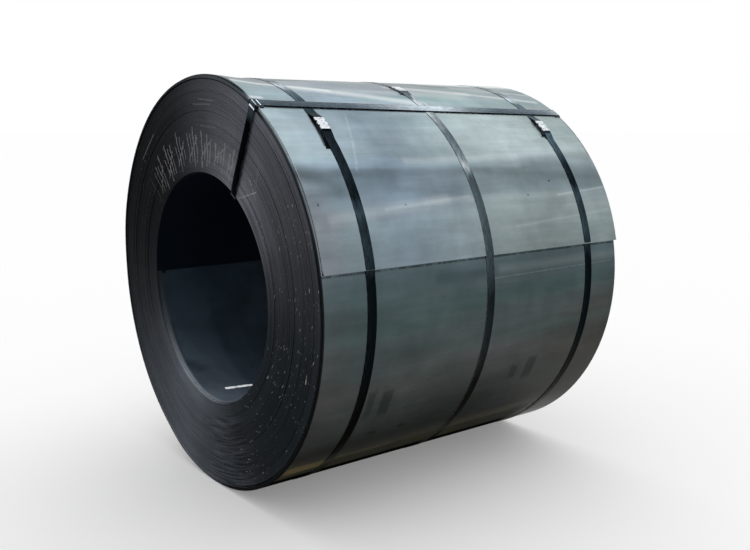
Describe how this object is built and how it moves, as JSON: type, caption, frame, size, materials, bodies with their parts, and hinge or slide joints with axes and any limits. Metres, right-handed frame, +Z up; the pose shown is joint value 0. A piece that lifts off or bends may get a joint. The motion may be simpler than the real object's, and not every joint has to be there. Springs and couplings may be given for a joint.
{
  "type": "steel coil",
  "caption": "Coil of hot-rolled steel strip lying on its side, with an open bore, belly bands with crimped seals, and an eye band over edge guards.",
  "frame": {"origin": "on the floor under the middle of the strip's width, straight below the coil's axis, at the underside of the middle belly band", "axes": "+Z up; +X along the coil's axis, from the near end to the end that the outermost lap has slid towards; -Y towards the side where the strip's outer end lies"},
  "size_m": [1.2688, 1.3454, 1.3474],
  "materials": {
    "strip_steel": "hot-rolled mill finish, blue-grey, faint streaks along the axis",
    "band_steel": "black lacquered steel strapping, satin",
    "seal_zinc": "zinc-coated, bright",
    "guard_steel": "dark steel with bright worn bends"
  },
  "bodies": {
    "root": {"coil": "strip_steel", "band_left": "band_steel", "band_middle": "band_steel", "band_right": "band_steel", "eye_band": "band_steel", "seal_left": "seal_zinc", "seal_middle": "seal_zinc", "seal_right": "seal_zinc", "seal_eye": "seal_zinc", "guard_near": "guard_steel", "guard_far": "guard_steel"}
  },
  "joints": []
}
